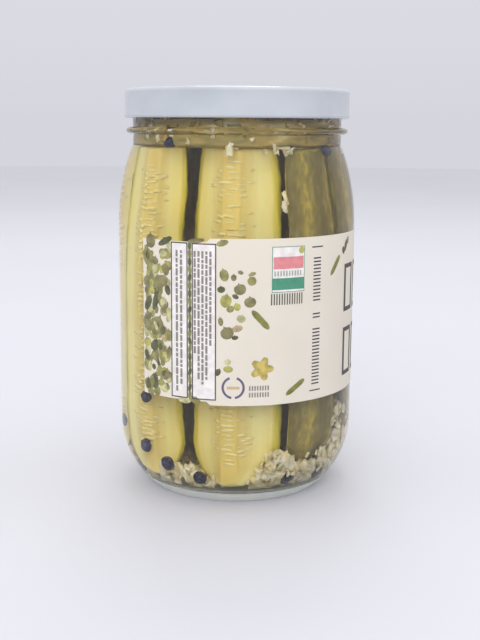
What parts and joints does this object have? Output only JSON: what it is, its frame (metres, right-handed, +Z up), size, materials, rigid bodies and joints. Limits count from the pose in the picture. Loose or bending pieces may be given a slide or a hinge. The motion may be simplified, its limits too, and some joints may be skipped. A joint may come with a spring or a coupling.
{
  "type": "pickle jar",
  "caption": "Round glass jar of pickled cucumber spears in brine, with a twist-off steel lid and a wrap-round label.",
  "frame": {"origin": "on the jar's axis, on the surface that it stands on, which is the bottom centre of its box", "axes": "+Z up along the jar's axis; the middle of the label's shown side faces -Y, and +X is to the right of it"},
  "size_m": [0.0902, 0.0904, 0.1501],
  "materials": {
    "glass": "clear, gloss",
    "lid_enamel": "white enamel, satin gloss",
    "label_paper": "cream, matt",
    "brine": "pale olive, clear"
  },
  "bodies": {
    "root": {"jar": "glass", "lid": "lid_enamel", "label": "label_paper", "brine": "brine"}
  },
  "joints": []
}
